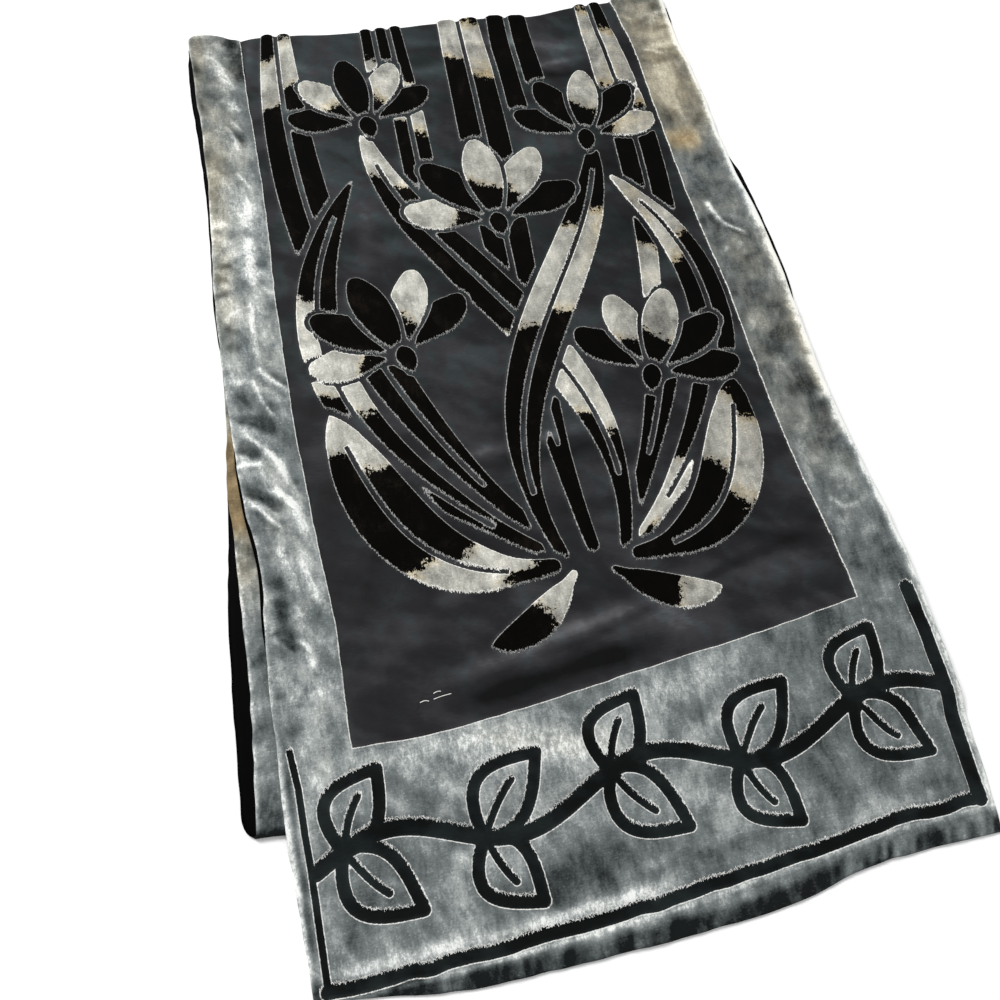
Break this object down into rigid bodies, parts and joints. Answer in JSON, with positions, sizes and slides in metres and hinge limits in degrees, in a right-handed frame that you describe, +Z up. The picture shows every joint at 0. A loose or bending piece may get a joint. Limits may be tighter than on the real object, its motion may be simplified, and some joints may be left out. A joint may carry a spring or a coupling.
{
  "type": "folded evening stole",
  "caption": "Long velvet evening stole with a black lining, lying flat and folded in three, its decorated end on top and the other end turned up beneath it.",
  "frame": {"origin": "on the surface the stole lies on, under the middle of its bounding box", "axes": "+X across the stole to the right, +Y along it from the front hem to the fold at the back, +Z up"},
  "size_m": [0.5254, 0.8586, 0.0099],
  "materials": {
    "velvet": "voided velvet: silver-grey and black pile over a charcoal satin ground",
    "lining": "plain black woven lining, matt"
  },
  "bodies": {
    "root": {"front_panel": "velvet", "folded_layers": "velvet", "lining_left": "lining", "lining_right": "lining"}
  },
  "joints": []
}
